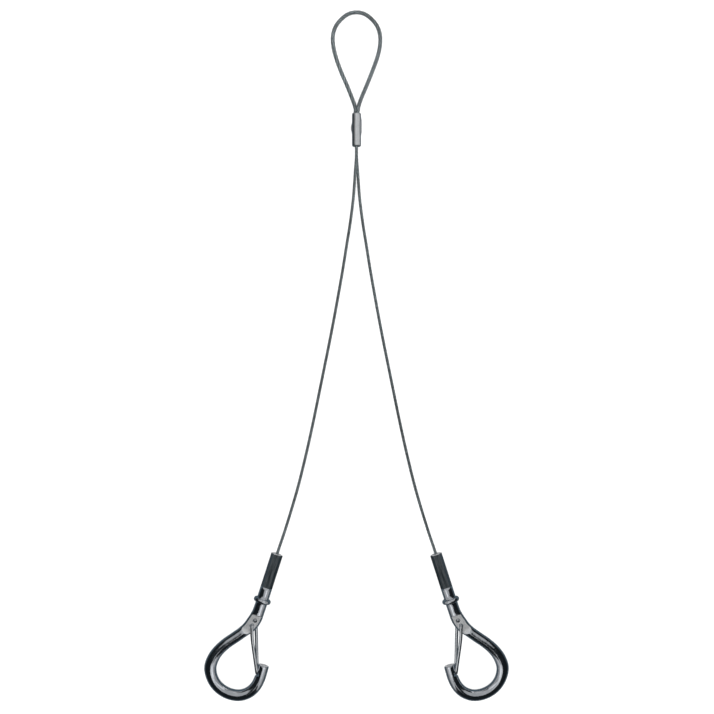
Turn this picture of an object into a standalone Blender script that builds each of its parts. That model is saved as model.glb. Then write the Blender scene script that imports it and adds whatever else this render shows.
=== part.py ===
"""Two-leg wire rope sling lying flat.

One eye of thicker wire rope and two thinner leg ropes are pressed into one round ferrule.
Each leg ends in a one-piece snap hook whose drilled shank is crimped onto the rope, and each
hook is closed by a gate bent from one springy wire.

Frame: +Y from the hooks to the eye, +X to the right, +Z up, floor at z = 0, origin midway
between the two hooks' far ends and the ferrule's top face. Metres throughout.
"""
from math import asin, cos, pi, radians, sin

import bmesh
import bpy
from mathutils import Vector

# ---------------------------------------------------------------- driving dimensions
GAP = 0.0003                    # air kept between neighbouring pieces

EYE_ROPE_D = 0.0032
LEG_ROPE_D = 0.0024

FERRULE_R = 0.00345
FERRULE_TOP_Y = 0.2287
FERRULE_BOTTOM_Y = 0.2025
FERRULE_EDGE = 0.0010           # rounding of both ends
FLASH_LEFT = (0.2122, 0.2218, 0.0010)     # low y, high y, proud of the barrel
FLASH_RIGHT = (0.2106, 0.2260, 0.0009)
FLASH_THICKNESS = 0.0010

SPLIT_Y = 0.1751                # where the two legs come apart and start to swing
SPLIT_X = 0.0015

HOOK_X = 0.0731                 # collar centre
HOOK_Y = -0.1499
HOOK_LEAN = radians(17.8)       # shank axis from -Y, outwards
SHANK_R = 0.00462               # crimped sleeve and round shank
BAR_R = 0.0044                  # half the thickness of the neck and bowl
COLLAR_R = 0.0068
COLLAR_WIDTH = 0.0034
COLLAR_AT = -0.0004             # stations along the shank, from the hook frame's origin
SLEEVE_TOP = -0.0383
CRIMP_END = -0.0112
CRIMP_RUNOUT = 0.0016
CRIMP_FLATS = 0.0080            # across flats
FLAT_Z = 0.00290                # neck flats, from the mid-plane
FLAT_START = 0.0111
FLAT_PLAN = [                   # (along the shank, outwards); the last two corners run out
    (FLAT_START, -0.0090), (FLAT_START, 0.0090), (0.0208, 0.0130), (0.0262, -0.0010),
    (0.0262, -0.0090),
]
FLAT_RUNOUT = (0.0170, 0.0123)  # how far the run-out has moved on at the cutter's top
WIRE_R = 0.00125                # gate wire
HOLE_R = 0.0015
FRONT_HOLE = (0.0204, 0.0016)
REAR_HOLE = (0.0158, 0.00055)
GATE_TOE = (0.0549, -0.0134)    # middle of the gate's U-bend
ARM_BOW = 0.0006                # the front arm bends outwards by this near the neck
ARM_Z = FLAT_Z + WIRE_R + GAP
TOE_Z = 0.0030                  # the arms close in on each other towards the U-bend
ELBOW_R = 0.0017
ARM_LEVEL = 0.0090              # wire that stays level next to the neck flats
REAR_STUB = 0.0030              # straight wire between the rear elbow and the gate's arm

# Hook bar after the straight shank, neck to nose: (along the shank, outwards, half width).
BAR_ROUTE = [
    (0.0094, 0.0002, 0.00470), (0.0154, 0.0010, 0.00525), (0.0220, 0.0032, 0.00500),
    (0.0276, 0.0068, 0.00435), (0.0335, 0.0112, 0.00430), (0.0401, 0.0163, 0.00430),
    (0.0470, 0.0203, 0.00440), (0.0539, 0.0225, 0.00460), (0.0616, 0.0226, 0.00475),
    (0.0681, 0.0195, 0.00455), (0.0731, 0.0145, 0.00440), (0.0761, 0.0082, 0.00440),
    (0.0770, 0.0007, 0.00440), (0.0754, -0.0064, 0.00440), (0.0711, -0.0121, 0.00435),
    (0.0652, -0.0154, 0.00430), (0.0585, -0.0166, 0.00430), (0.0531, -0.0166, 0.00430),
    (0.0477, -0.0164, 0.00430),
]
BOWL_REACH = 0.0770
HOOK_TILT = asin((COLLAR_R - BAR_R) / BOWL_REACH)   # collar and bowl both touch the floor

# Eye rope, from the lower left arm over the top of the loop to the upper right arm.
EYE_ROUTE = [
    (-0.0006, 0.2290, 0.00180), (-0.0008, 0.2325, 0.00180), (-0.0024, 0.2376, 0.00180),
    (-0.0070, 0.2495, 0.00178), (-0.0121, 0.2614, 0.00175), (-0.0161, 0.2727, 0.00170),
    (-0.0180, 0.2809, 0.00168), (-0.0184, 0.2888, 0.00166), (-0.0164, 0.2960, 0.00165),
    (-0.0121, 0.3018, 0.00165), (-0.0063, 0.3061, 0.00165), (0.0000, 0.3074, 0.00166),
    (0.0063, 0.3061, 0.00170), (0.0121, 0.3018, 0.00178), (0.0164, 0.2960, 0.00190),
    (0.0184, 0.2888, 0.00205), (0.0182, 0.2809, 0.00225), (0.0164, 0.2727, 0.00255),
    (0.0124, 0.2614, 0.00310), (0.0079, 0.2500, 0.00380), (0.0032, 0.2385, 0.00465),
    (0.0014, 0.2325, 0.00505), (0.0009, 0.2290, 0.00510),
]

# Leg ropes, ferrule to hook: distance from the centre line, y, height on the left leg,
# height on the right leg. Both come out of the ferrule one above the other.
LEG_TOP_ROUTE = [
    (0.00005, 0.2022, 0.00480, 0.00210), (0.00005, 0.1980, 0.00480, 0.00210),
    (0.00015, 0.1938, 0.00477, 0.00212), (0.00050, 0.1888, 0.00464, 0.00222),
    (0.00090, 0.1844, 0.00442, 0.00234), (0.00122, 0.1797, 0.00416, 0.00246),
    (0.00150, 0.1751, 0.00386, 0.00252),
]
LEG_ROUTE = [
    (0.00150, 0.1751, 0.00386, 0.00252), (0.00246, 0.1626, 0.00320, 0.00232),
    (0.0048, 0.1439, 0.00235, 0.00192), (0.0078, 0.1252, 0.00168, 0.00154),
    (0.0108, 0.1064, 0.00136, 0.00134), (0.0141, 0.0877, 0.00126, 0.00126),
    (0.0175, 0.0690, 0.00124, 0.00124), (0.0211, 0.0503, 0.00124, 0.00124),
    (0.0249, 0.0315, 0.00124, 0.00124), (0.0287, 0.0128, 0.00126, 0.00126),
    (0.0325, -0.0059, 0.00136, 0.00136), (0.0365, -0.0246, 0.00162, 0.00162),
    (0.0408, -0.0433, 0.00214, 0.00214), (0.0455, -0.0621, 0.00304, 0.00304),
    (0.0509, -0.0808, 0.00436, 0.00436), (0.0566, -0.0990, 0.00618, 0.00618),
]

SIDES = {"left": -1.0, "right": 1.0}


# ---------------------------------------------------------------- helpers
def clear_scene():
    for obj in list(bpy.data.objects):
        bpy.data.objects.remove(obj, do_unlink=True)


def material(name, colour, roughness, metallic):
    mat = bpy.data.materials.new(name)
    mat.use_nodes = True
    shader = mat.node_tree.nodes["Principled BSDF"]
    shader.inputs["Base Color"].default_value = (*colour, 1.0)
    shader.inputs["Roughness"].default_value = roughness
    shader.inputs["Metallic"].default_value = metallic
    return mat


def add_object(name, data, mat=None, parent=None):
    obj = bpy.data.objects.new(name, data)
    bpy.context.scene.collection.objects.link(obj)
    if mat:
        data.materials.append(mat)
    obj.parent = parent
    return obj


def add_empty(name, location, rotation=(0.0, 0.0, 0.0), parent=None):
    empty = add_object(name, None, parent=parent)
    empty.location = location
    empty.rotation_euler = rotation
    return empty


def mesh_from(bm, name):
    bmesh.ops.recalc_face_normals(bm, faces=bm.faces)
    mesh = bpy.data.meshes.new(name)
    bm.to_mesh(mesh)
    bm.free()
    mesh.shade_smooth()
    mesh.set_sharp_from_angle(angle=radians(35))
    return mesh


def smooth_route(points, spacing):
    """Points about `spacing` apart on a centripetal Catmull-Rom curve through `points`."""
    pts = [Vector(p) for p in points]
    ends = [pts[0] * 2 - pts[1]] + pts + [pts[-1] * 2 - pts[-2]]
    route = []
    for p0, p1, p2, p3 in zip(ends, ends[1:], ends[2:], ends[3:]):
        t0 = 0.0
        t1 = t0 + (p1 - p0).length ** 0.5
        t2 = t1 + (p2 - p1).length ** 0.5
        t3 = t2 + (p3 - p2).length ** 0.5
        steps = max(1, round((p2 - p1).length / spacing))
        for i in range(steps):
            t = t1 + (t2 - t1) * i / steps
            a1 = p0.lerp(p1, (t - t0) / (t1 - t0))
            a2 = p1.lerp(p2, (t - t1) / (t2 - t1))
            a3 = p2.lerp(p3, (t - t2) / (t3 - t2))
            b1 = a1.lerp(a2, (t - t0) / (t2 - t0))
            b2 = a2.lerp(a3, (t - t1) / (t3 - t1))
            route.append(b1.lerp(b2, (t - t1) / (t2 - t1)))
    return route + [pts[-1]]


def arc(centre, from_centre, towards, angle, steps):
    """Points on an arc that starts at centre + from_centre and turns towards `towards`."""
    return [centre + from_centre * cos(angle * i / steps) + towards * sin(angle * i / steps)
            for i in range(steps + 1)]


def sweep(points, radius, sides):
    """A closed round bar along `points`, its rings carried without twist."""
    bm = bmesh.new()
    tangents = []
    for i in range(len(points)):
        ahead = points[min(i + 1, len(points) - 1)]
        behind = points[max(i - 1, 0)]
        tangents.append((ahead - behind).normalized())
    across = tangents[0].orthogonal().normalized()
    rings = []
    for point, tangent in zip(points, tangents):
        across = (across - tangent * across.dot(tangent)).normalized()
        up = tangent.cross(across)
        turns = [2 * pi * (k + 0.5) / sides for k in range(sides)]
        rings.append([bm.verts.new(point + (across * cos(a) + up * sin(a)) * radius)
                      for a in turns])
    for low, high in zip(rings, rings[1:]):
        for k in range(sides):
            bm.faces.new((low[k], low[(k + 1) % sides], high[(k + 1) % sides], high[k]))
    bm.faces.new(rings[0][::-1])
    bm.faces.new(rings[-1])
    return bm


def turned(profile, sides):
    """A solid turned about the local Y axis from (y, radius) pairs, open at neither end."""
    bm = bmesh.new()
    rings = [[bm.verts.new((r * cos(2 * pi * (k + 0.5) / sides), y,
                            r * sin(2 * pi * (k + 0.5) / sides))) for k in range(sides)]
             for y, r in profile]
    for low, high in zip(rings, rings[1:]):
        for k in range(sides):
            bm.faces.new((low[k], low[(k + 1) % sides], high[(k + 1) % sides], high[k]))
    bm.faces.new(rings[0])
    bm.faces.new(rings[-1])
    return bm


def prism(outline, low_z, high_z, high_outline=None):
    """A prism over an outline of (x, y) points, straight unless its top has its own outline."""
    bm = bmesh.new()
    bottom = [bm.verts.new((x, y, low_z)) for x, y in outline]
    top = [bm.verts.new((x, y, high_z)) for x, y in high_outline or outline]
    count = len(outline)
    bm.faces.new(bottom)
    bm.faces.new(top)
    for k in range(count):
        bm.faces.new((bottom[k], bottom[(k + 1) % count], top[(k + 1) % count], top[k]))
    return bm


def combine(obj, bm, operation, name):
    """Boolean `bm`, built in the object's own frame, with the object."""
    tool = add_object(name, mesh_from(bm, name), parent=obj.parent)
    tool.location = obj.location
    tool.rotation_euler = obj.rotation_euler
    tool.hide_render = True
    tool.display_type = "WIRE"
    modifier = obj.modifiers.new(name, "BOOLEAN")
    modifier.operation = operation
    modifier.solver = "EXACT"
    modifier.object = tool


def rope(name, points, diameter, mat, parent=None):
    """A plain round rope on a poly spline with a point every two and a half diameters."""
    curve = bpy.data.curves.new(name, "CURVE")
    curve.dimensions = "3D"
    curve.bevel_depth = diameter / 2
    curve.bevel_resolution = 2
    curve.use_fill_caps = True
    origin = parent.matrix_world.translation if parent else Vector()
    route = smooth_route(points, 2.5 * diameter)
    spline = curve.splines.new("POLY")
    spline.points.add(len(route) - 1)
    for target, point in zip(spline.points, route):
        target.co = (*(point - origin), 1.0)
    return add_object(name, curve, mat, parent)


# ---------------------------------------------------------------- ferrule and ropes
def make_ferrule(mat):
    steps = 4
    quarter = [pi / 2 * i / steps for i in range(steps + 1)]
    inner = FERRULE_R - FERRULE_EDGE
    profile = [(FERRULE_BOTTOM_Y + FERRULE_EDGE * (1 - sin(a)), inner + FERRULE_EDGE * cos(a))
               for a in reversed(quarter)]
    profile += [(FERRULE_TOP_Y - FERRULE_EDGE * (1 - sin(a)), inner + FERRULE_EDGE * cos(a))
                for a in quarter]
    middle = (FERRULE_TOP_Y + FERRULE_BOTTOM_Y) / 2
    body = turned([(y - middle, r) for y, r in profile], 24)
    ferrule = add_object("ferrule", mesh_from(body, "ferrule"), mat)
    ferrule.location = (0.0, middle, FERRULE_R)
    for side, (low, high, proud) in ((-1, FLASH_LEFT), (1, FLASH_RIGHT)):
        root = side * (FERRULE_R - 0.0010)
        tip = side * (FERRULE_R + proud)
        outline = [(root, low - middle), (tip, low + 0.0015 - middle),
                   (tip, high - 0.0015 - middle), (root, high - middle)]
        flash = prism(outline, -FLASH_THICKNESS / 2, FLASH_THICKNESS / 2)
        combine(ferrule, flash, "UNION", "flash_left" if side < 0 else "flash_right")


def leg_points(rows, side_name):
    side = SIDES[side_name]
    height = 2 if side_name == "left" else 3
    return [Vector((side * row[0], row[1], row[height])) for row in rows]


def shank_point(hook_frame, station):
    return hook_frame.matrix_world @ Vector((0.0, -station, 0.0))


def trimmed(points, start=0.0, end=0.0):
    """The same route with its first and last point moved in along the rope."""
    first = (points[1] - points[0]).normalized() * start
    last = (points[-2] - points[-1]).normalized() * end
    return [points[0] + first] + points[1:-1] + [points[-1] + last]


def make_leg_ropes(side_name, pivot, hook_frame, mat):
    top = trimmed(leg_points(LEG_TOP_ROUTE, side_name), end=GAP * 0.75)
    rope(side_name + "_leg_rope_top", top, LEG_ROPE_D, mat)
    leg = leg_points(LEG_ROUTE, side_name)
    leg += [shank_point(hook_frame, SLEEVE_TOP - 0.006), shank_point(hook_frame, SLEEVE_TOP)]
    leg = trimmed(leg, start=GAP * 0.75, end=GAP)
    rope(side_name + "_leg_rope", leg, LEG_ROPE_D, mat, pivot)


# ---------------------------------------------------------------- hook
def make_hook(side_name, hook_frame, mat):
    """In the hook's frame local Y runs up the shank and side * X points outwards."""
    side = SIDES[side_name]

    def place(station, outward, z=0.0):
        return Vector((side * outward, -station, z))

    hook = add_object(side_name + "_hook", mesh_from(hook_bar(side), "bar"), mat, hook_frame)

    half = COLLAR_WIDTH / 2
    rim = half * 0.9
    collar = [(-half, COLLAR_R - rim)]
    collar += [(half * sin(a), COLLAR_R - rim + rim * cos(a))
               for a in (radians(d) for d in (-60, -30, 0, 30, 60))]
    collar += [(half, COLLAR_R - rim)]
    collar = [(y - COLLAR_AT, r) for y, r in collar]
    combine(hook, turned(collar, 28), "UNION", side_name + "_collar")

    combine(hook, crimp_die(), "DIFFERENCE", side_name + "_crimp_die")

    reach = BAR_R + 0.003
    low = [(side * v, -u) for u, v in FLAT_PLAN]
    run_u, run_v = FLAT_RUNOUT
    high = low[:2] + [(side * (v + run_v), -u - run_u) for u, v in FLAT_PLAN[2:4]]
    high.append((low[4][0], high[3][1]))
    front, rear = prism(low, FLAT_Z, reach, high), prism(low, -FLAT_Z, -reach, high)
    combine(hook, front, "DIFFERENCE", side_name + "_front_flat")
    combine(hook, rear, "DIFFERENCE", side_name + "_rear_flat")

    for name, (u, v) in (("front", FRONT_HOLE), ("rear", REAR_HOLE)):
        drill = sweep([place(u, v, -reach), place(u, v, reach)], HOLE_R, 16)
        combine(hook, drill, "DIFFERENCE", side_name + "_" + name + "_drill")

    toe = Vector(GATE_TOE)
    along = (toe - Vector(FRONT_HOLE)).normalized()
    away = Vector((along.y, -along.x))          # from the gate's toe into the nose
    seat = toe + away * (WIRE_R + GAP)
    notch = [seat + along * (WIRE_R + 2 * GAP), seat - along * 0.012,
             seat - along * 0.012 - away * 0.012, seat + along * (WIRE_R + 2 * GAP) - away * 0.012]
    outline = [(side * p.y, -p.x) for p in notch]
    combine(hook, prism(outline, -reach, reach), "DIFFERENCE", side_name + "_nose_notch")


def hook_bar(side):
    """Shank, neck and bowl in one bar: round, but spread sideways where the neck is pressed."""
    rows = [Vector((SLEEVE_TOP, 0.0, SHANK_R)), Vector((0.0030, 0.0, SHANK_R))]
    rows += smooth_route(BAR_ROUTE, 0.0038)
    sides = 18
    bm = bmesh.new()
    rings = []
    for i, row in enumerate(rows):
        run = rows[min(i + 1, len(rows) - 1)] - rows[max(i - 1, 0)]
        beside = Vector((-run.y, run.x)).normalized()
        thick = SHANK_R if i < 2 else BAR_R
        ring = []
        for k in range(sides):
            angle = 2 * pi * (k + 0.5) / sides
            u = row.x + beside.x * row.z * cos(angle)
            v = row.y + beside.y * row.z * cos(angle)
            ring.append(bm.verts.new((side * v, -u, thick * sin(angle))))
        rings.append(ring)
    for low, high in zip(rings, rings[1:]):
        for k in range(sides):
            bm.faces.new((low[k], low[(k + 1) % sides], high[(k + 1) % sides], high[k]))
    bm.faces.new(rings[0][::-1])
    bm.faces.new(rings[-1])
    return bm


def crimp_die():
    """A ring round the sleeve whose six-sided hole flares out past the crimp's end."""
    bm = bmesh.new()
    apothem = CRIMP_FLATS / 2
    open_apothem = SHANK_R * 1.12
    stations = [(SLEEVE_TOP - 0.002, apothem), (CRIMP_END, apothem),
                (CRIMP_END + CRIMP_RUNOUT, open_apothem)]
    outer = SHANK_R * 2

    def ring(station, radius):
        return [bm.verts.new((radius * cos(pi / 3 * k), -station, radius * sin(pi / 3 * k)))
                for k in range(6)]

    inside = [ring(station, flat / cos(pi / 6)) for station, flat in stations]
    outside = [ring(stations[0][0], outer), ring(stations[-1][0], outer)]
    loops = inside + outside[::-1]
    for low, high in zip(loops, loops[1:] + loops[:1]):
        for k in range(6):
            bm.faces.new((low[k], low[(k + 1) % 6], high[(k + 1) % 6], high[k]))
    return bm


# ---------------------------------------------------------------- gate
def make_gate(side_name, hook_frame, mat):
    """The moving hairpin: front elbow in its hole, two arms and the U-bend between them."""
    side = SIDES[side_name]
    pivot = Vector((side * FRONT_HOLE[1], -FRONT_HOLE[0], 0.0))
    toe = Vector((side * GATE_TOE[1], -GATE_TOE[0], 0.0)) - pivot
    rear = Vector((side * REAR_HOLE[1], -REAR_HOLE[0], 0.0)) - pivot
    up = Vector((0.0, 0.0, 1.0))

    front_dir = toe.normalized()
    elbow = arc(front_dir * ELBOW_R + up * (ARM_Z - ELBOW_R), -front_dir * ELBOW_R,
                up * ELBOW_R, pi / 2, 6)
    points = [up * 0.0004] + elbow[:-1]

    bend = toe - front_dir * TOE_Z
    rear_dir = (toe - rear).normalized()
    bow = Vector((-front_dir.y, front_dir.x, 0.0)) * (side * ARM_BOW)
    front_arm = [elbow[-1], front_dir * ARM_LEVEL + bow + up * ARM_Z, bend + up * TOE_Z]
    rear_arm = [bend - up * TOE_Z, rear + rear_dir * ARM_LEVEL * 1.4 - up * ARM_Z,
                rear + rear_dir * (ELBOW_R + REAR_STUB + GAP) - up * ARM_Z]
    points += smooth_route(front_arm, 0.006)[:-1]
    points += arc(bend, up * TOE_Z, front_dir * TOE_Z, pi, 10)
    points += smooth_route(rear_arm, 0.006)[1:]
    gate = add_object(side_name + "_gate", mesh_from(sweep(points, WIRE_R, 12), "gate"), mat,
                      hook_frame)
    gate.location = pivot

    elbow = arc(rear_dir * ELBOW_R - up * (ARM_Z - ELBOW_R), -rear_dir * ELBOW_R,
                -up * ELBOW_R, pi / 2, 6)
    stub = [up * (FLAT_Z - 0.0006)] + elbow
    stub.append(rear_dir * (ELBOW_R + REAR_STUB) - up * ARM_Z)
    end = add_object(side_name + "_gate_rear_end", mesh_from(sweep(stub, WIRE_R, 12), "end"),
                     mat, hook_frame)
    end.location = pivot + rear


# ---------------------------------------------------------------- assembly
def build():
    clear_scene()
    rope_mat = material("rope_steel", (0.36, 0.38, 0.40), 0.45, 0.9)
    ferrule_mat = material("ferrule_aluminium", (0.72, 0.73, 0.74), 0.38, 1.0)
    hook_mat = material("hook_steel", (0.60, 0.61, 0.64), 0.18, 1.0)
    gate_mat = material("gate_steel", (0.62, 0.64, 0.66), 0.24, 1.0)

    make_ferrule(ferrule_mat)
    rope("eye_rope", EYE_ROUTE, EYE_ROPE_D, rope_mat)
    for side_name, side in SIDES.items():
        pivot = add_empty(side_name + "_leg_pivot", (side * SPLIT_X, SPLIT_Y, 0.0))
        collar = Vector((side * HOOK_X, HOOK_Y, COLLAR_R)) - Vector(pivot.location)
        hook_frame = add_empty(side_name + "_hook_frame", collar,
                               (HOOK_TILT, 0.0, side * HOOK_LEAN), pivot)
        bpy.context.view_layer.update()
        make_leg_ropes(side_name, pivot, hook_frame, rope_mat)
        make_hook(side_name, hook_frame, hook_mat)
        make_gate(side_name, hook_frame, gate_mat)


build()
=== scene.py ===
from math import asin, cos, pi, radians, sin, tau

import bmesh
import bpy
from mathutils import Euler, Matrix, Vector


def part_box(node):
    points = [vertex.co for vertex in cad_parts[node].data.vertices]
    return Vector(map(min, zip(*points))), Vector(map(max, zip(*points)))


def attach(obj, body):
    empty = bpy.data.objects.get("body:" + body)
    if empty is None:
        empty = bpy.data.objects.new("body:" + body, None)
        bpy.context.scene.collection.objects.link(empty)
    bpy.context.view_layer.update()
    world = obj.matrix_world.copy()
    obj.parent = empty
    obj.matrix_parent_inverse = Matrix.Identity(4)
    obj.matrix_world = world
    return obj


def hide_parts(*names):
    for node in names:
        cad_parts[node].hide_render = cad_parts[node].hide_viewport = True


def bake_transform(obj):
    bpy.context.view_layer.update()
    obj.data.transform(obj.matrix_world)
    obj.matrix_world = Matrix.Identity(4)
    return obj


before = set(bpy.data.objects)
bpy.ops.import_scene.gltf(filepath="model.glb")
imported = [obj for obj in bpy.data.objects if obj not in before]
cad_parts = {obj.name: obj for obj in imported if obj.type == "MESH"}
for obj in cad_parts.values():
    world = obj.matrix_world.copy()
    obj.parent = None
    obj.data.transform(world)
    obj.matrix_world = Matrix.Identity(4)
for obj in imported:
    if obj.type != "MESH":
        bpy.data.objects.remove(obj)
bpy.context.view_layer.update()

UP = Vector((0.0, 0.0, 1.0))
SIDES = {"left": -1.0, "right": 1.0}
SHARP_ANGLE = 35                # degrees between faces that stay a crease
PLATED, CRIMPED, PAINTED_LIT_FACET, CUT = range(4)    # the hook's material slots

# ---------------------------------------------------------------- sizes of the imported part
EYE_ROPE_D = 0.0032
LEG_ROPE_D = 0.0024
FERRULE_LOW, FERRULE_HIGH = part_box("ferrule")
FERRULE_R = 0.00345
FERRULE_EDGE = 0.0011
FLASH_LEFT = (0.2122, 0.2218, 0.0010)     # low y, high y, proud of the barrel
FLASH_RIGHT = (0.2106, 0.2260, 0.0009)
FLASH_FADE = 0.0046             # length over which a flash rises to its height

HOOK_X = 0.0731
HOOK_Y = -0.1499
HOOK_LEAN = radians(17.8)
SHANK_R = 0.00462
BAR_R = 0.0044
COLLAR_R = 0.0068
COLLAR_WIDTH = 0.0034
COLLAR_AT = -0.0004
SLEEVE_TOP = -0.0383
SLEEVE_BORE_R = 0.0014
SLEEVE_EDGE = 0.0003
COLLAR_FILLET = 0.0005
CRIMP_END = -0.0112
CRIMP_RUNOUT = 0.0016
CRIMP_APOTHEM = 0.0040
FLAT_Z = 0.0029
FLAT_START = 0.0111
FLAT_END = (0.0266, -0.0010)    # (along the shank, outwards): where the flats start to rise
FLAT_RISE_WAY = (0.933, 0.360)  # direction the rise goes in
FLAT_RISE_CURVE = 140.0         # rise over distance squared, per metre
BOWL_REACH = 0.0770
NOSE_EDGE = 0.0006
HOOK_TILT = asin((COLLAR_R - BAR_R) / BOWL_REACH)
WIRE_R = 0.00125
HOLE_R = 0.0015
HOLE_SINK = 0.0002              # small countersink at each end of a hole
FRONT_HOLE = (0.0204, 0.0016)
REAR_HOLE = (0.0158, 0.00055)
GATE_TOE = (0.0549, -0.0134)
ARM_BOW = 0.0006
GAP = 0.0003
ARM_Z = FLAT_Z + WIRE_R + GAP
TOE_Z = 0.0030
ELBOW_R = 0.0017
ARM_LEVEL = 0.0090
SEAM_AT = 1.4                   # where the rear arm is split, in lengths of ARM_LEVEL

# Hook bar, neck to nose: (along the shank, outwards, half width).
BAR_ROUTE = [
    (0.0094, 0.0002, 0.00470), (0.0154, 0.0010, 0.00525), (0.0220, 0.0032, 0.00500),
    (0.0276, 0.0068, 0.00435), (0.0335, 0.0112, 0.00430), (0.0401, 0.0163, 0.00430),
    (0.0470, 0.0203, 0.00440), (0.0539, 0.0225, 0.00460), (0.0616, 0.0226, 0.00475),
    (0.0681, 0.0195, 0.00455), (0.0731, 0.0145, 0.00440), (0.0761, 0.0082, 0.00440),
    (0.0770, 0.0007, 0.00440), (0.0754, -0.0064, 0.00440), (0.0711, -0.0121, 0.00435),
    (0.0652, -0.0154, 0.00430), (0.0585, -0.0166, 0.00430), (0.0531, -0.0166, 0.00430),
    (0.0477, -0.0164, 0.00430),
]
EYE_ROUTE = [
    (-0.0006, 0.2290, 0.00180), (-0.0008, 0.2325, 0.00180), (-0.0024, 0.2376, 0.00180),
    (-0.0070, 0.2495, 0.00178), (-0.0121, 0.2614, 0.00175), (-0.0161, 0.2727, 0.00170),
    (-0.0180, 0.2809, 0.00168), (-0.0184, 0.2888, 0.00166), (-0.0164, 0.2960, 0.00165),
    (-0.0121, 0.3018, 0.00165), (-0.0063, 0.3061, 0.00165), (0.0000, 0.3074, 0.00166),
    (0.0063, 0.3061, 0.00170), (0.0121, 0.3018, 0.00178), (0.0164, 0.2960, 0.00190),
    (0.0184, 0.2888, 0.00205), (0.0182, 0.2809, 0.00225), (0.0164, 0.2727, 0.00255),
    (0.0124, 0.2614, 0.00310), (0.0079, 0.2500, 0.00380), (0.0032, 0.2385, 0.00465),
    (0.0014, 0.2325, 0.00505), (0.0009, 0.2290, 0.00510),
]
# Distance from the centre line, y, height on the left leg, height on the right leg.
LEG_ROUTE = [
    (0.00005, 0.2022, 0.00480, 0.00210), (0.00005, 0.1980, 0.00480, 0.00210),
    (0.00015, 0.1938, 0.00477, 0.00212), (0.00050, 0.1888, 0.00464, 0.00222),
    (0.00090, 0.1844, 0.00442, 0.00234), (0.00122, 0.1797, 0.00416, 0.00246),
    (0.00150, 0.1751, 0.00386, 0.00252),
    (0.00246, 0.1626, 0.00320, 0.00232),
    (0.0048, 0.1439, 0.00235, 0.00192), (0.0078, 0.1252, 0.00168, 0.00154),
    (0.0108, 0.1064, 0.00136, 0.00134), (0.0141, 0.0877, 0.00126, 0.00126),
    (0.0175, 0.0690, 0.00124, 0.00124), (0.0211, 0.0503, 0.00124, 0.00124),
    (0.0249, 0.0315, 0.00124, 0.00124), (0.0287, 0.0128, 0.00126, 0.00126),
    (0.0325, -0.0059, 0.00136, 0.00136), (0.0365, -0.0246, 0.00162, 0.00162),
    (0.0408, -0.0433, 0.00214, 0.00214), (0.0455, -0.0621, 0.00304, 0.00304),
    (0.0509, -0.0808, 0.00436, 0.00436), (0.0566, -0.0990, 0.00618, 0.00618),
]
STRANDS = 6
LAY = 6.6                       # rope lay length in rope diameters
WIRE_LAY = 3.2                  # the same for the wires in a strand
HELD = 0.0016                   # rope that goes into the ferrule past its route
HELD_IN_SLEEVE = 0.0010

# The camera looks straight down on the sling.
CAMERA_HEIGHT = 1.05
CAMERA_X = 0.0004
CAMERA_Y = 0.0390
FIELD = 0.5569                  # width of floor in view
SENSOR = 36.0

FLOOR_FLAT_R = 2.6              # the floor is flat this far out, then sweeps up
SWEEP_R = 1.4
FLOOR_SIDES = 96


# ---------------------------------------------------------------- geometry helpers
def smooth_route(points, spacing):
    """Points about `spacing` apart on a centripetal Catmull-Rom curve through `points`."""
    pts = [Vector(p) for p in points]
    ends = [pts[0] * 2 - pts[1]] + pts + [pts[-1] * 2 - pts[-2]]
    route = []
    for p0, p1, p2, p3 in zip(ends, ends[1:], ends[2:], ends[3:]):
        t1 = (p1 - p0).length ** 0.5
        t2 = t1 + (p2 - p1).length ** 0.5
        t3 = t2 + (p3 - p2).length ** 0.5
        steps = max(1, round((p2 - p1).length / spacing))
        for i in range(steps):
            t = t1 + (t2 - t1) * i / steps
            a1 = p0.lerp(p1, t / t1)
            a2 = p1.lerp(p2, (t - t1) / (t2 - t1))
            a3 = p2.lerp(p3, (t - t2) / (t3 - t2))
            b1 = a1.lerp(a2, t / t2)
            b2 = a2.lerp(a3, (t - t1) / (t3 - t1))
            route.append(b1.lerp(b2, (t - t1) / (t2 - t1)))
    return route + [pts[-1]]


def lengths(points):
    """Length of the route up to each of its points."""
    total, run = 0.0, [0.0]
    for a, b in zip(points, points[1:]):
        total += (b - a).length
        run.append(total)
    return run


def tangents(points):
    last = len(points) - 1
    return [(points[min(i + 1, last)] - points[max(i - 1, 0)]).normalized()
            for i in range(len(points))]


def carried_frames(points):
    """Tangent and two normals at each point, carried along without twist."""
    frames = []
    across = None
    for tangent in tangents(points):
        across = across or tangent.orthogonal()
        across = (across - tangent * across.dot(tangent)).normalized()
        frames.append((tangent, across, tangent.cross(across)))
    return frames


def arc(centre, from_centre, towards, angle, steps):
    """Points on an arc that starts at centre + from_centre and turns towards `towards`."""
    return [centre + from_centre * cos(angle * i / steps) + towards * sin(angle * i / steps)
            for i in range(steps + 1)]


def ease(x):
    """Smooth step from 0 to 1."""
    x = min(max(x, 0.0), 1.0)
    return x * x * (3 - 2 * x)


def skin(bm, rings, uv_layer=None, run=None):
    """Joins rings of points into one closed tube, with its UVs round and along."""
    verts = [[bm.verts.new(p) for p in ring] for ring in rings]
    sides = len(verts[0])
    for i, (low, high) in enumerate(zip(verts, verts[1:])):
        for k in range(sides):
            face = bm.faces.new((low[k], low[(k + 1) % sides], high[(k + 1) % sides], high[k]))
            if uv_layer:
                turns = (k / sides, (k + 1) / sides, (k + 1) / sides, k / sides)
                alongs = (run[i], run[i], run[i + 1], run[i + 1])
                for loop, turn, along in zip(face.loops, turns, alongs):
                    loop[uv_layer].uv = (turn, along)
    bm.faces.new(verts[0][::-1])
    bm.faces.new(verts[-1])


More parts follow.
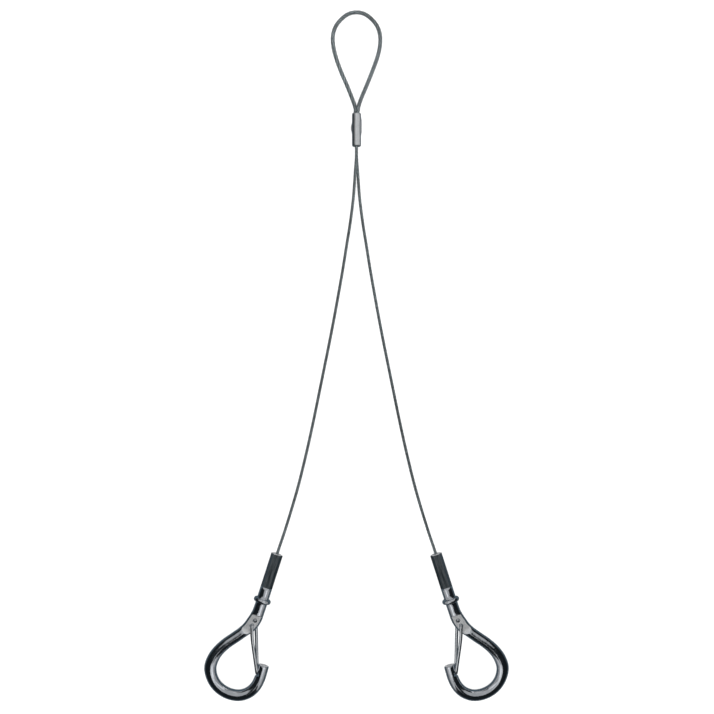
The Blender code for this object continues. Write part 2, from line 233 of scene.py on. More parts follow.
def mesh_object(name, bm, materials, matrix=None, sharp=SHARP_ANGLE):
    bmesh.ops.recalc_face_normals(bm, faces=bm.faces)
    mesh = bpy.data.meshes.new(name)
    bm.to_mesh(mesh)
    bm.free()
    mesh.shade_smooth()
    mesh.set_sharp_from_angle(angle=radians(sharp))
    for mat in materials:
        mesh.materials.append(mat)
    obj = bpy.data.objects.new(name, mesh)
    bpy.context.scene.collection.objects.link(obj)
    if matrix:
        obj.matrix_world = matrix
    return obj


def round_bar(points, radius, edges, sides=24):
    """Rings of a round bar along `points`, its two ends rounded by `edges`."""
    frames = carried_frames(points)
    caps = []
    for point, frame_, sign, edge in ((points[0], frames[0], -1, edges[0]),
                                      (points[-1], frames[-1], 1, edges[1])):
        steps = [(sin(a) * edge, cos(a) * edge) for a in (0.0, pi / 6, pi / 3, pi / 2)]
        caps.append([(point + frame_[0] * sign * (out - edge), frame_, radius - edge + r)
                     for out, r in steps])
    middle = [(p, f, radius) for p, f in zip(points, frames)][1:-1]
    stations = caps[0][::-1] + middle + caps[1]
    return [[p + (f[1] * cos(tau * k / sides) + f[2] * sin(tau * k / sides)) * r
             for k in range(sides)] for p, f, r in stations]


def carve(obj, cutters):
    """Cuts the object with meshes made in its own frame, then drops the cutters."""
    tools = []
    for bm in cutters:
        tool = mesh_object("cutter", bm, [], obj.matrix_world)
        modifier = obj.modifiers.new("cut", "BOOLEAN")
        modifier.operation = "DIFFERENCE"
        modifier.solver = "EXACT"
        modifier.object = tool
        tools.append(tool)
    bpy.context.view_layer.update()
    graph = bpy.context.evaluated_depsgraph_get()
    mesh = bpy.data.meshes.new_from_object(obj.evaluated_get(graph))
    obj.modifiers.clear()
    obj.data = mesh
    mesh.set_sharp_from_angle(angle=radians(SHARP_ANGLE))
    for tool in tools:
        bpy.data.objects.remove(tool, do_unlink=True)


# ---------------------------------------------------------------- material helpers
class Nodes:
    """A short way to write a node tree round one Principled shader."""

    def __init__(self, name):
        self.material = bpy.data.materials.new(name)
        self.material.use_nodes = True
        self.tree = self.material.node_tree
        self.shader = self.tree.nodes["Principled BSDF"]

    def add(self, kind, **settings):
        node = self.tree.nodes.new(kind)
        for key, value in settings.items():
            setattr(node, key, value)
        return node

    def link(self, source, target):
        self.tree.links.new(source, target)

    def put(self, socket, value):
        if hasattr(value, "is_linked"):
            self.link(value, socket)
        else:
            socket.default_value = value

    def set(self, **inputs):
        for key, value in inputs.items():
            self.put(self.shader.inputs[key.replace("_", " ")], value)

    def coordinates(self, kind="Object", scale=(1.0, 1.0, 1.0)):
        source = self.add("ShaderNodeTexCoord").outputs[kind]
        mapping = self.add("ShaderNodeMapping")
        mapping.inputs["Scale"].default_value = scale
        self.link(source, mapping.inputs["Vector"])
        return mapping.outputs["Vector"]

    def channels(self, vector):
        node = self.add("ShaderNodeSeparateXYZ")
        self.link(vector, node.inputs["Vector"])
        return node.outputs["X"], node.outputs["Y"]

    def noise(self, vector, scale, detail=2.0, roughness=0.5):
        node = self.add("ShaderNodeTexNoise")
        node.inputs["Scale"].default_value = scale
        node.inputs["Detail"].default_value = detail
        node.inputs["Roughness"].default_value = roughness
        self.link(vector, node.inputs["Vector"])
        return node.outputs["Fac"]

    def span(self, value, low, high, from_low=0.0, from_high=1.0):
        node = self.add("ShaderNodeMapRange")
        node.inputs["From Min"].default_value = from_low
        node.inputs["From Max"].default_value = from_high
        node.inputs["To Min"].default_value = low
        node.inputs["To Max"].default_value = high
        self.link(value, node.inputs["Value"])
        return node.outputs["Result"]

    def blend_colour(self, factor, a, b):
        node = self.add("ShaderNodeMix", data_type="RGBA")
        self.put(node.inputs["Factor"], factor)
        self.put(node.inputs["A"], a if hasattr(a, "is_linked") else (*a, 1.0))
        self.put(node.inputs["B"], b if hasattr(b, "is_linked") else (*b, 1.0))
        return node.outputs["Result"]

    def math(self, operation, a, b=0.0):
        node = self.add("ShaderNodeMath", operation=operation)
        self.put(node.inputs[0], a)
        self.put(node.inputs[1], b)
        return node.outputs["Value"]

    def bump(self, height, distance, strength=1.0, normal=None):
        node = self.add("ShaderNodeBump")
        node.inputs["Distance"].default_value = distance
        node.inputs["Strength"].default_value = strength
        self.link(height, node.inputs["Height"])
        if normal:
            self.link(normal, node.inputs["Normal"])
        return node.outputs["Normal"]


def tinted(colour, factor):
    """The colour made darker or lighter."""
    return tuple(factor * c for c in colour)


def rope_steel(name, zinc):
    """Galvanised strands: wires show on each, with painted shade, near black, in the valleys
    between wires and on each strand's inner side.
    """
    m = Nodes(name)
    turn, along = m.channels(m.coordinates("UV"))
    phase = m.math("SUBTRACT", m.math("MULTIPLY", turn, float(STRANDS)), along)
    wires = m.math("ABSOLUTE", m.math("SINE", m.math("MULTIPLY", phase, pi)))
    crown = m.math("COSINE", m.math("MULTIPLY", turn, tau))
    place = m.coordinates()
    blotch = m.noise(place, 420.0, 3.0)
    weather = m.noise(place, 45.0, 2.0)
    dull = m.span(blotch, 0.0, 1.0, 0.35, 0.65)
    surface = m.blend_colour(dull, tinted(zinc, 0.78), tinted(zinc, 1.25))
    surface = m.blend_colour(m.span(weather, 0.0, 0.35, 0.45, 0.7), surface, (0.20, 0.18, 0.16))
    # Painted shade: the colour goes near black in the valleys between wires and on the side of each
    # strand that faces its neighbours.
    painted_groove_shade = m.math("MULTIPLY", m.span(wires, 0.5, 1.0, 0.05, 0.5),
                     m.span(crown, 0.06, 1.0, 0.1, 0.9))
    colour = m.blend_colour(painted_groove_shade, (0.014, 0.020, 0.022), surface)
    m.set(Base_Color=colour, Metallic=0.93, Roughness=m.span(blotch, 0.24, 0.38),
          Normal=m.bump(wires, 0.00010, 0.7))
    return m.material


def forged_bump(m, place):
    """Slow waves left by forging under the plate, and fine handling marks along the bar."""
    waves = m.noise(place, 210.0, 2.0, 0.45)
    marks = m.noise(m.coordinates(scale=(1.0, 0.15, 1.0)), 2400.0, 2.0)
    return m.bump(marks, 0.00003, 0.35, m.bump(waves, 0.00018, 0.5))


def plated_steel(name):
    """Bright zinc plate, paler and duller where the neck is pressed, with painted shade on the flat
    next to its shoulder, clean on its edges.
    """
    m = Nodes(name)
    place = m.coordinates()
    pressed, along = m.channels(m.coordinates("UV"))
    cloud = m.noise(place, 160.0, 4.0, 0.6)
    spots = m.noise(place, 900.0, 2.0)
    plate = m.blend_colour(m.span(cloud, 0.0, 1.0, 0.3, 0.7), (0.66, 0.69, 0.74),
                           (0.82, 0.85, 0.90))
    plate = m.blend_colour(m.span(spots, 0.0, 0.4, 0.66, 0.80), plate, (0.36, 0.35, 0.34))
    worn = m.span(m.add("ShaderNodeNewGeometry").outputs["Pointiness"], 0.0, 1.0, 0.52, 0.58)
    plate = m.blend_colour(m.math("MULTIPLY", worn, 0.5), plate, (0.93, 0.93, 0.92))
    satin = m.blend_colour(cloud, (0.60, 0.61, 0.62), (0.80, 0.81, 0.82))
    # Painted shade: the pressed flat fades to near black over its first 1.1 mm below the shoulder.
    painted_shoulder_shade = m.span(along, 0.85, 0.0, FLAT_START, FLAT_START + 0.0011)
    satin = m.blend_colour(painted_shoulder_shade, satin, (0.05, 0.05, 0.055))
    smooth = m.span(cloud, 0.08, 0.17, 0.3, 0.7)
    dull = m.math("MULTIPLY", pressed, m.span(spots, 0.20, 0.32))
    m.set(Base_Color=m.blend_colour(pressed, plate, satin), Metallic=m.span(pressed, 1.0, 0.93),
          Roughness=m.math("ADD", smooth, dull), Normal=forged_bump(m, place))
    return m.material


def crimped_steel(name, dark, pale):
    """The pressed sleeve: dull plate with die drag lines along it and small worn specks."""
    m = Nodes(name)
    place = m.coordinates()
    drag = m.noise(m.coordinates(scale=(1.0, 0.05, 1.0)), 1500.0, 3.0)
    cloud = m.noise(place, 420.0, 4.0, 0.6)
    streaks = m.math("MULTIPLY", m.span(drag, 0.0, 1.0, 0.38, 0.62), m.span(cloud, 0.3, 1.0))
    colour = m.blend_colour(streaks, dark, pale)
    worn = m.span(m.add("ShaderNodeNewGeometry").outputs["Pointiness"], 0.0, 0.8, 0.52, 0.60)
    colour = m.blend_colour(worn, colour, (0.62, 0.63, 0.64))
    m.set(Base_Color=colour, Metallic=1.0, Roughness=m.span(drag, 0.34, 0.52),
          Normal=m.bump(drag, 0.00005, 0.5))
    return m.material


def cut_steel(name):
    """Sawn ends of nose and sleeve: bare and pale, with fine saw lines."""
    m = Nodes(name)
    lines = m.noise(m.coordinates(scale=(0.1, 1.0, 1.0)), 3200.0, 2.0)
    cloud = m.noise(m.coordinates(), 700.0, 2.0)
    m.set(Base_Color=m.blend_colour(cloud, (0.42, 0.42, 0.43), (0.66, 0.66, 0.67)),
          Metallic=0.55, Roughness=m.span(lines, 0.40, 0.60), Normal=m.bump(lines, 0.00004, 0.5))
    return m.material


def pressed_aluminium(name):
    """The ferrule: satin aluminium with die lines along it and small dents."""
    m = Nodes(name)
    place = m.coordinates()
    drag = m.noise(m.coordinates(scale=(1.0, 0.06, 1.0)), 1300.0, 3.0)
    dents = m.noise(place, 420.0, 2.0)
    colour = m.blend_colour(m.span(drag, 0.0, 1.0, 0.3, 0.7),
                            (0.70, 0.73, 0.75), (0.92, 0.93, 0.94))
    scuffs = m.noise(m.coordinates(scale=(0.35, 1.0, 0.35)), 1500.0, 2.0)
    colour = m.blend_colour(m.span(scuffs, 0.0, 0.30, 0.52, 0.80), colour, (0.46, 0.45, 0.44))
    rough = m.bump(dents, 0.00025, 0.5)
    m.set(Base_Color=colour, Metallic=1.0, Roughness=m.span(drag, 0.30, 0.46),
          Normal=m.bump(drag, 0.00006, 0.5, rough))
    return m.material


def drawn_wire(name):
    """Spring wire of the gates: bright, with fine drawing lines along it."""
    m = Nodes(name)
    lines = m.noise(m.coordinates("UV", (1.0, 0.02, 1.0)), 40.0, 2.0)
    cloud = m.noise(m.coordinates(), 500.0, 2.0)
    colour = m.blend_colour(cloud, (0.68, 0.71, 0.74), (0.88, 0.90, 0.92))
    m.set(Base_Color=colour, Metallic=1.0, Roughness=m.span(lines, 0.20, 0.36),
          Normal=m.bump(lines, 0.00003, 0.4))
    return m.material


def pale_floor(name):
    """Matt pale floor that glows a little, so that it stays even from edge to edge."""
    m = Nodes(name)
    grain = m.noise(m.coordinates(), 60.0, 4.0)
    m.set(Base_Color=m.blend_colour(grain, (0.19, 0.19, 0.19), (0.22, 0.22, 0.22)),
          Roughness=0.9, Emission_Color=(1.0, 1.0, 1.0, 1.0), Emission_Strength=0.78)
    m.shader.inputs["Specular IOR Level"].default_value = 0.1
    return m.material


# ---------------------------------------------------------------- ropes
def strand_rope(name, route, diameter, mat):
    """Six strands laid right-handed round a core strand, the wires in each laid left-handed."""
    lay = LAY * diameter
    strand_r = diameter / 6 * 1.01
    orbit = diameter / 2 - strand_r
    wire_lay = WIRE_LAY * diameter
    sides = 10
    run = lengths(route)
    frames = carried_frames(route)
    bm = bmesh.new()
    uv_layer = bm.loops.layers.uv.new("round_and_along")
    for strand in range(STRANDS):
        centres, outwards = [], []
        for point, length, (_, across, up) in zip(route, run, frames):
            angle = tau * (length / lay + strand / STRANDS)
            outward = across * cos(angle) + up * sin(angle)
            centres.append(point + outward * orbit)
            outwards.append(outward)
        rings = []
        for centre, outward, along in zip(centres, outwards, tangents(centres)):
            beside = along.cross(outward).normalized()
            rings.append([centre + (outward * cos(tau * k / sides) + beside * sin(tau * k / sides))
                          * strand_r for k in range(sides)])
        skin(bm, rings, uv_layer, [6 * length / wire_lay for length in run])
    core = [[p + (a * cos(tau * k / 8) + b * sin(tau * k / 8)) * strand_r for k in range(8)]
            for p, (_, a, b) in zip(route, frames)]
    skin(bm, core, uv_layer, [6 * length / wire_lay for length in run])
    return mesh_object(name, bm, [mat], sharp=60)


def inserted(points, start, end):
    """The route with a straight bit added at each end, where the rope is held."""
    first = (points[0] - points[1]).normalized() * start
    last = (points[-1] - points[-2]).normalized() * end
    return [points[0] + first] + points + [points[-1] + last]


def make_eye_rope(mat):
    points = [Vector(p) for p in EYE_ROUTE]
    route = smooth_route(inserted(points, HELD, HELD), LAY * EYE_ROPE_D / 14)
    eye = strand_rope("eye_wire_rope", route, EYE_ROPE_D, mat)
    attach(eye, "ferrule_and_eye")
    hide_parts("eye_rope")
    lengths(route)[-1]


def make_leg_rope(side_name, hook_matrix, mat):
    side = SIDES[side_name]
    height = 2 if side_name == "left" else 3
    points = [Vector((side * row[0], row[1], row[height])) for row in LEG_ROUTE]
    points += [hook_matrix @ Vector((0.0, 0.006 - SLEEVE_TOP, 0.0)),
               hook_matrix @ Vector((0.0, -SLEEVE_TOP, 0.0))]
    route = smooth_route(inserted(points, HELD, HELD_IN_SLEEVE), LAY * LEG_ROPE_D / 12)
    rope = strand_rope(side_name + "_leg_wire_rope", route, LEG_ROPE_D, mat)
    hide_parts(side_name + "_leg_rope_top", side_name + "_leg_rope")
    lengths(route)[-1]
    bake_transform(rope)


# ---------------------------------------------------------------- ferrule
def flash(y, angle):
    """How far the metal squeezed out between the two halves of the press die stands proud."""
    proud = 0.0
    for at, (start, stop, height) in ((pi, FLASH_LEFT), (0.0, FLASH_RIGHT)):
        off = abs((angle - at + pi) % tau - pi)
        across = ease(1.25 - off / radians(8))
        along = ease(min(y - start, stop - y) / FLASH_FADE)
        ragged = 0.92 + 0.08 * sin(y * 1500 + at) * sin(y * 3700)
        proud = max(proud, height * across * along * ragged)
    return proud


def ferrule_sections(low, high):
    """(y, radius, 1 on the barrel or 0 on its ends) from the lower end to the upper one."""
    edge, dish, count = FERRULE_EDGE, 0.0008, 60
    rim, well = FERRULE_R - 1.15 * edge, FERRULE_R - 1.35 * edge
    rows = [(low + dish, well, 0.0), (low, rim, 0.0)]
    rows += [(low + edge * (1 - cos(a)), FERRULE_R - edge * (1 - sin(a)), 0.0)
             for a in (radians(d) for d in range(0, 91, 15))]
    rows += [(low + edge + (high - low - 2 * edge) * i / count, FERRULE_R, 1.0)
             for i in range(1, count)]
    rows += [(high - edge * (1 - cos(a)), FERRULE_R - edge * (1 - sin(a)), 0.0)
             for a in (radians(d) for d in range(90, -1, -15))]
    return rows + [(high, rim, 0.0), (high - dish, well, 0.0)]


def make_ferrule(mat):
    """The pressed barrel, slightly oval, with points close together where its flashes are."""
    low, high = FERRULE_LOW.y, FERRULE_HIGH.y
    middle = (low + high) / 2
    close = (-12, -8, -6, -4, -2, 2, 4, 6, 8, 12)
    angles = sorted({radians(a) for a in range(0, 360, 5)}
                    | {radians(a + d) for a in (0, 180) for d in close})
    rings = []
    for y, radius, body in ferrule_sections(low, high):
        ring = []
        for angle in angles:
            oval = 1.0 + 0.006 * cos(2 * angle) * body
            r = radius * oval + flash(y, angle) * body
            ring.append(Vector((r * cos(angle), y - middle, -r * sin(angle))))
        rings.append(ring)
    bm = bmesh.new()
    skin(bm, rings)
    matrix = Matrix.Translation((0.0, middle, FERRULE_R))
    ferrule = mesh_object("pressed_ferrule", bm, [mat], matrix)
    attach(ferrule, "ferrule_and_eye")
    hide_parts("ferrule")


# ---------------------------------------------------------------- hook
def shank_sections():
    """(distance along the shank, radius, crimp flats' apothem or None) down to the neck."""
    bore, edge, fillet = SLEEVE_BORE_R, SLEEVE_EDGE, COLLAR_FILLET
    quarter = [radians(d) for d in (0, 30, 60, 90)]
    rows = [(SLEEVE_TOP + 0.0012, bore, None), (SLEEVE_TOP + 0.0003, bore, None),
            (SLEEVE_TOP, bore + 0.0004, None)]
    rows += [(SLEEVE_TOP + edge * (1 - cos(a)), SHANK_R - edge * (1 - sin(a)),
              CRIMP_APOTHEM - edge * (1 - sin(a))) for a in quarter]
    start = SLEEVE_TOP + 2 * edge
    rows += [(start + (CRIMP_END - start) * i / 12, SHANK_R, CRIMP_APOTHEM) for i in range(13)]
    for i in range(1, 13):
        lift = (i / 12) ** 1.6
        rows.append((CRIMP_END + CRIMP_RUNOUT * i / 12, SHANK_R,
                     CRIMP_APOTHEM + (SHANK_R * 1.01 - CRIMP_APOTHEM) * lift))
    half = COLLAR_WIDTH / 2
    rows += [(COLLAR_AT - half - 0.003, SHANK_R, None)]
    rows += [(COLLAR_AT - half - fillet * (1 - sin(a)), SHANK_R + fillet * (1 - cos(a)), None)
             for a in quarter]
    rim = half * 0.85
    rows += [(COLLAR_AT + half * sin(a), COLLAR_R - rim + rim * cos(a), None)
             for a in (radians(d) for d in range(-90, 91, 15))]
    rows += [(COLLAR_AT + half + fillet * (1 - sin(a)), SHANK_R + fillet * (1 - cos(a)), None)
             for a in reversed(quarter)]
    return rows


def ring_angles(limit, thick):
    """Angles round a section, close together on the two faces that the flats may cut."""
    edge = min(asin(min(1.0, limit / thick)), radians(75))
    flat = [edge + (pi - 2 * edge) * i / 16 for i in range(17)]
    flank = [-edge + 2 * edge * i / 20 for i in range(1, 20)]
    return flank + flat + [a + pi for a in flank] + [a + pi for a in flat]


def flat_limit(station, outward):
    """Highest z that the pressed neck reaches at this place."""
    if station < FLAT_START:
        return BAR_R * 2
    past = ((station - FLAT_END[0]) * FLAT_RISE_WAY[0]
            + (outward - FLAT_END[1]) * FLAT_RISE_WAY[1])
    return FLAT_Z + max(0.0, past) ** 2 * FLAT_RISE_CURVE


def crimped(radius, apothem, angle):
    """Radius of a round shank where the die has pressed six flats into it."""
    off = (angle - pi / 3) % (pi / 3) - pi / 6
    return min(radius, apothem / cos(off)) if apothem else radius


def bar_sections():
    """(along, outwards, half width, half thickness, direction across) from collar to nose."""
    rows = smooth_route([(0.0030, 0.0, SHANK_R)] + BAR_ROUTE, 0.0008)
    shoulder = next(i for i, row in enumerate(rows) if row.x > FLAT_START)
    for step in (0.0006, -0.00001):
        row = rows[shoulder].copy()
        row.x = FLAT_START + step
        rows.insert(shoulder, row)
    rows = rows[:shoulder + 2] + [row for row in rows[shoulder + 2:] if row.x > rows[shoulder + 1].x
                                  or row.y > 0.004 or row.y < -0.004]
    edge = NOSE_EDGE
    rows = [row for row in rows[:-1] if (row - rows[-1]).length > edge * 1.5] + [rows[-1]]
    sections = []
    for i, row in enumerate(rows):
        run = rows[min(i + 1, len(rows) - 1)] - rows[max(i - 1, 0)]
        square = Vector((-run.y, run.x)).normalized()
        across = Vector((0.0, 1.0)).lerp(square, ease((row.x - 0.0125) / 0.008))
        across = square if i > len(rows) / 2 else across.normalized()
        thick = SHANK_R + (BAR_R - SHANK_R) * ease((row.x - 0.004) / 0.006)
        sections.append((Vector(row.xy), row.z, thick, across))
    end, width, thick, across = sections.pop()
    forward = Vector((across.y, -across.x))
    for a in (radians(d) for d in (90, 60, 30, 0)):
        inset = edge * (1 - sin(a))
        sections.append((end - forward * edge * (1 - cos(a)), width - inset, thick - inset, across))
    return sections


def hook_rings(side):
    """Rings of points from bore to nose, how pressed each point is, and the rings' stations."""
    rings, pressed, stations = [], [], []
    for station, radius, apothem in shank_sections():
        angles = ring_angles(BAR_R * 2, radius)
        rings.append([Vector((side * crimped(radius, apothem, a) * cos(a), -station,
                              crimped(radius, apothem, a) * sin(a))) for a in angles])
        pressed.append([0.0] * len(angles))
        stations.append(station)
    for centre, width, thick, across in bar_sections():
        ring, mask = [], []
        stations.append(centre.x)
        for a in ring_angles(flat_limit(centre.x, centre.y), thick):
            place = centre + across * (width * cos(a))
            top = flat_limit(centre.x if centre.x < 0.013 else place.x, place.y)
            z = max(-top, min(top, thick * sin(a)))
            ring.append(Vector((side * place.y, -place.x, z)))
            cut = abs(thick * sin(a)) - top
            mask.append(ease(cut / 0.00012) * ease((thick - top) / 0.0012))
        rings.append(ring)
        pressed.append(mask)
    return rings, pressed, stations


def sleeve_slot(row, face, side):
    """Sawn end, outer facets in a lighter copy of the crimped steel as painted light, or plain
    crimped steel.
    """
    if row < 5:
        return CUT
    return PAINTED_LIT_FACET if face.calc_center_median().x * side > SHANK_R * 0.45 else CRIMPED


def make_hook_body(side_name, matrix, materials):
    """The forged hook: rings from the sleeve's bore to the nose, then holes and notch."""
    side = SIDES[side_name]
    rings, pressed, stations = hook_rings(side)
    sleeve = sum(station < CRIMP_END for station, _, _ in shank_sections())
    bm = bmesh.new()
    uv_layer = bm.loops.layers.uv.new("pressed_and_along")
    skin(bm, rings)
    bm.faces.ensure_lookup_table()
    sides = len(rings[0])
    for index in range((len(rings) - 1) * sides):
        row, k = divmod(index, sides)
        face = bm.faces[index]
        if row < sleeve:
            face.material_index = sleeve_slot(row, face, side)
        corners = ((row, k), (row, (k + 1) % sides), (row + 1, (k + 1) % sides), (row + 1, k))
        for loop, (i, j) in zip(face.loops, corners):
            loop[uv_layer].uv = (pressed[i][j], stations[i])
    bm.faces[-1].material_index = CUT
    hook = mesh_object(side_name + "_snap_hook", bm, materials, matrix)
    carve(hook, [cross_hole(side, FRONT_HOLE), cross_hole(side, REAR_HOLE), nose_notch(side)])
    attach(hook, side_name + "_leg")
    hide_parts(side_name + "_hook")


def cross_hole(side, hole):
    """Cutter for one drilled hole through the neck, its two ends slightly countersunk."""
    sink = HOLE_SINK
    reach = FLAT_Z + 0.001
    profile = [(-reach, HOLE_R + sink * 6), (-FLAT_Z, HOLE_R + sink), (-FLAT_Z + sink, HOLE_R),
               (FLAT_Z - sink, HOLE_R), (FLAT_Z, HOLE_R + sink), (reach, HOLE_R + sink * 6)]
    cutter = bmesh.new()
    skin(cutter, [[Vector((side * hole[1] + r * cos(tau * k / 32),
                           -hole[0] + r * sin(tau * k / 32), z)) for k in range(32)]
                  for z, r in profile])
    return cutter


def nose_notch(side):
    """The wedge milled from the nose's inner side, where the gate's U-bend rests."""
    toe = Vector(GATE_TOE)
    along = (toe - Vector(FRONT_HOLE)).normalized()
    away = Vector((along.y, -along.x))
    seat = toe + away * (WIRE_R + GAP)
    foot = along * (WIRE_R + 2 * GAP)
    corners = [seat + foot, seat - along * 0.012, seat - along * 0.012 - away * 0.012,
               seat + foot - away * 0.012]
    reach = BAR_R + 0.002
    cutter = bmesh.new()
    skin(cutter, [[Vector((side * p.y, -p.x, z)) for p in corners] for z in (-reach, reach)])
    return cutter


# ---------------------------------------------------------------- gate
def make_gate_wire(side_name, matrix, mat):
    """One springy wire: the swinging hairpin, and its rear end that stays in its own hole."""
    side = SIDES[side_name]
    front = Vector((side * FRONT_HOLE[1], -FRONT_HOLE[0], 0.0))
    toe = Vector((side * GATE_TOE[1], -GATE_TOE[0], 0.0))
    rear = Vector((side * REAR_HOLE[1], -REAR_HOLE[0], 0.0))
    front_dir = (toe - front).normalized()
    rear_dir = (toe - rear).normalized()
    bend = toe - front_dir * TOE_Z
    seam = rear + rear_dir * ARM_LEVEL * SEAM_AT - UP * ARM_Z

    elbow = arc(front + front_dir * ELBOW_R + UP * (ARM_Z - ELBOW_R), -front_dir * ELBOW_R,
                UP * ELBOW_R, pi / 2, 10)
    bow = Vector((-front_dir.y, front_dir.x, 0.0)) * (side * ARM_BOW)
    front_arm = smooth_route([elbow[-1], front + front_dir * ARM_LEVEL + bow + UP * ARM_Z,
                              bend + UP * TOE_Z], 0.002)
    u_bend = arc(bend, UP * TOE_Z, front_dir * TOE_Z, pi, 20)
    rear_elbow = arc(rear + rear_dir * ELBOW_R - UP * (ARM_Z - ELBOW_R), -rear_dir * ELBOW_R,
                     -UP * ELBOW_R, pi / 2, 10)
    rear_arm = smooth_route([bend - UP * TOE_Z, seam, rear_elbow[-1]], 0.001)
    split = min(range(len(rear_arm)), key=lambda i: (rear_arm[i] - seam).length)

    swinging = [front + UP * 0.0004] + elbow + front_arm[1:] + u_bend[1:] + rear_arm[1:split + 1]
    staying = rear_arm[split:] + rear_elbow[::-1][1:] + [rear + UP * (FLAT_Z - 0.0019)]
    for part, points, edges in (("gate_hairpin", swinging, (0.0005, 0.00003)),
                                ("gate_heel", staying, (0.00003, 0.0005))):
        bm = bmesh.new()
        uv_layer = bm.loops.layers.uv.new("round_and_along")
        rings = round_bar(points, WIRE_R, edges)
        skin(bm, rings, uv_layer, [i * 0.2 for i in range(len(rings))])
        piece = mesh_object(side_name + "_" + part, bm, [mat], matrix)
        if part == "gate_hairpin":
            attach(piece, side_name + "_gate")
            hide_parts(side_name + "_gate")
        else:
            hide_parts(side_name + "_gate_rear_end")
            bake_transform(piece)


# ---------------------------------------------------------------- stage
def card(name, location, aim, size, radiance, turn=0.0, reflected=True, lights=False):
    """A flat lamp that the camera doesn't see; some are only seen in the metal's reflections."""
    lamp = bpy.data.lights.new(name, "AREA")
    lamp.shape = "RECTANGLE"
    lamp.size, lamp.size_y = size
    lamp.energy = radiance * pi * size[0] * size[1]
    obj = bpy.data.objects.new(name, lamp)
    bpy.context.scene.collection.objects.link(obj)
    facing = (Vector(aim) - Vector(location)).to_track_quat("-Z", "Y").to_matrix().to_4x4()
    obj.matrix_world = Matrix.Translation(location) @ facing @ Matrix.Rotation(turn, 4, "Z")
    obj.visible_camera = False
    obj.visible_glossy = reflected
    obj.visible_diffuse = lights


def make_world():
    """Dim room above the horizon, and a paler one below it where the floor reflects."""
    world = bpy.data.worlds.new("studio")
    bpy.context.scene.world = world
    world.use_nodes = True
    nodes, links = world.node_tree.nodes, world.node_tree.links
    where = nodes.new("ShaderNodeTexCoord")
    height = nodes.new("ShaderNodeSeparateXYZ")
    level = nodes.new("ShaderNodeMapRange")
    links.new(where.outputs["Generated"], height.inputs["Vector"])
    links.new(height.outputs["Z"], level.inputs["Value"])
    for key, value in {"From Min": -0.4, "From Max": 0.05, "To Min": 0.12, "To Max": 0.012}.items():
        level.inputs[key].default_value = value
    nodes["Background"].inputs["Color"].default_value = (0.76, 1.0, 1.16, 1.0)
    links.new(level.outputs["Result"], nodes["Background"].inputs["Strength"])


def make_floor():
    """A round studio floor that curves up into a wall far from the sling."""
    sides = FLOOR_SIDES
    bm = bmesh.new()
    sweep = [(0.02, 0.0), (1.0, 0.0)]
    sweep += [(FLOOR_FLAT_R + SWEEP_R * sin(a), SWEEP_R - SWEEP_R * cos(a))
              for a in (radians(d) for d in range(0, 91, 6))] + [(4.0, 4.0)]
    verts = [[bm.verts.new((r * cos(tau * k / sides), r * sin(tau * k / sides), z))
              for k in range(sides)] for r, z in sweep]
    bm.faces.new(verts[0])
    for low, high in zip(verts, verts[1:]):
        for k in range(sides):
            bm.faces.new((low[k], low[(k + 1) % sides], high[(k + 1) % sides], high[k]))
    floor = mesh_object("floor", bm, [pale_floor("pale_floor")])
    floor.location.z = -0.0001
    floor.visible_glossy = False


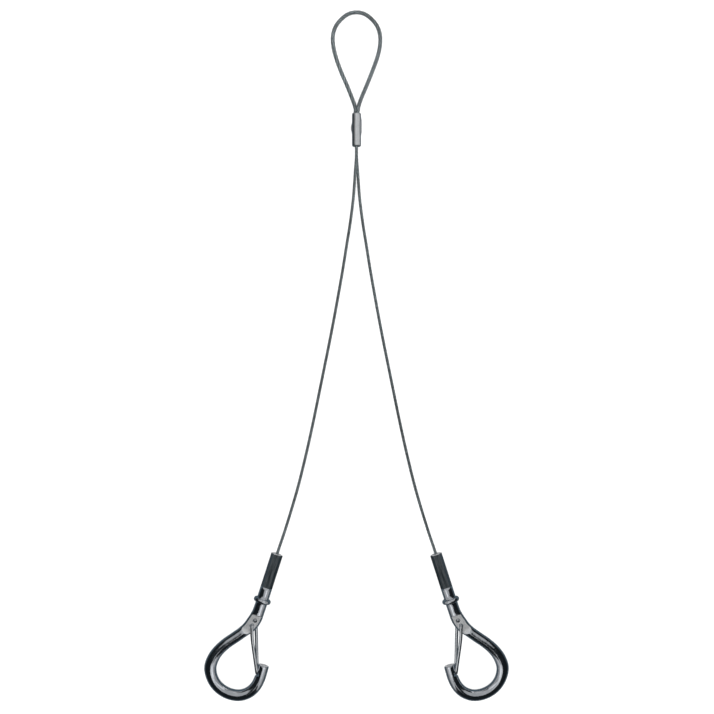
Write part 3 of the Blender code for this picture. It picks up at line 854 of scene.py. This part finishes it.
def make_lights():
    """One wide soft light for the floor, and cards that draw the reflections in the metal."""
    card("wide_fill", (0.0, 0.0, 2.0), (0.0, 0.0, 0.0), (3.4, 3.4), 4.2, reflected=False,
         lights=True)
    card("overhead_diamond", (0.0, 0.58, 0.8), (0.0, 0.58, 0.0), (1.556, 1.556), 0.40,
         turn=pi / 4)
    for side in SIDES.values():
        card("overhead_side", (side * 0.60, 0.08, 0.8), (side * 0.60, 0.08, 0.0), (0.46, 0.16),
             0.30, turn=side * pi / 4)
    card("key", (0.0, -0.265, 0.21), (0.0, -0.265, 0.0), (0.17, 0.09), 0.45)
    card("far_card", (0.0, 0.62, 0.15), (0.0, 0.0, 0.15), (0.90, 0.30), 0.32)
    card("eye_card", (0.03, 0.33, 0.24), (0.03, 0.33, 0.0), (0.26, 0.30), 0.30)
    card("ferrule_card", (0.22, 0.26, 0.11), (0.0, 0.26, 0.08), (0.24, 0.22), 0.60)
    # Back to back on the centre plane, so that each hook only sees the set that faces it.
    for side in SIDES.values():
        for y, z, size, radiance in ((-0.265, 0.165, (0.13, 0.15), 0.55),
                                     (-0.265, 0.060, (0.13, 0.06), 0.38),
                                     (-0.265, 0.015, (0.13, 0.03), 0.12),
                                     (-0.140, 0.115, (0.12, 0.21), 0.34)):
            card("middle_card", (0.0, y, z), (side, y, z), size, radiance)


def make_camera():
    """Straight above the sling, looking down."""
    camera = bpy.data.cameras.new("camera")
    camera.sensor_width = SENSOR
    camera.lens = SENSOR * CAMERA_HEIGHT / FIELD
    camera.clip_end = 20.0
    obj = bpy.data.objects.new("camera", camera)
    bpy.context.scene.collection.objects.link(obj)
    obj.location = (CAMERA_X, CAMERA_Y, CAMERA_HEIGHT)
    bpy.context.scene.camera = obj
    bpy.context.scene.view_settings.view_transform = "Standard"


# ---------------------------------------------------------------- the sling
def hook_frame(side):
    """Where a hook lies: its collar and the far end of its bowl both rest on the floor."""
    place = Matrix.Translation((side * HOOK_X, HOOK_Y, COLLAR_R))
    return place @ Euler((HOOK_TILT, 0.0, side * HOOK_LEAN)).to_matrix().to_4x4()


make_camera()
make_floor()
make_world()
make_lights()
make_eye_rope(rope_steel("eye_rope_steel", (0.50, 0.57, 0.60)))
make_ferrule(pressed_aluminium("ferrule_aluminium"))
leg_steel = rope_steel("leg_rope_steel", (0.46, 0.53, 0.55))
hook_materials = [plated_steel("hook_plated"),
                  crimped_steel("hook_crimped", (0.06, 0.075, 0.085), (0.31, 0.35, 0.37)),
                  # Painted light: a lighter copy of the crimped steel, for the sleeve's outer
                  # facets.
                  crimped_steel("hook_crimped_painted_lit", (0.33, 0.36, 0.38), (0.64, 0.67, 0.70)),
                  cut_steel("hook_cut")]
wire_steel = drawn_wire("gate_wire_steel")
for side_name, side in SIDES.items():
    frame_matrix = hook_frame(side)
    make_leg_rope(side_name, frame_matrix, leg_steel)
    make_hook_body(side_name, frame_matrix, hook_materials)
    make_gate_wire(side_name, frame_matrix, wire_steel)
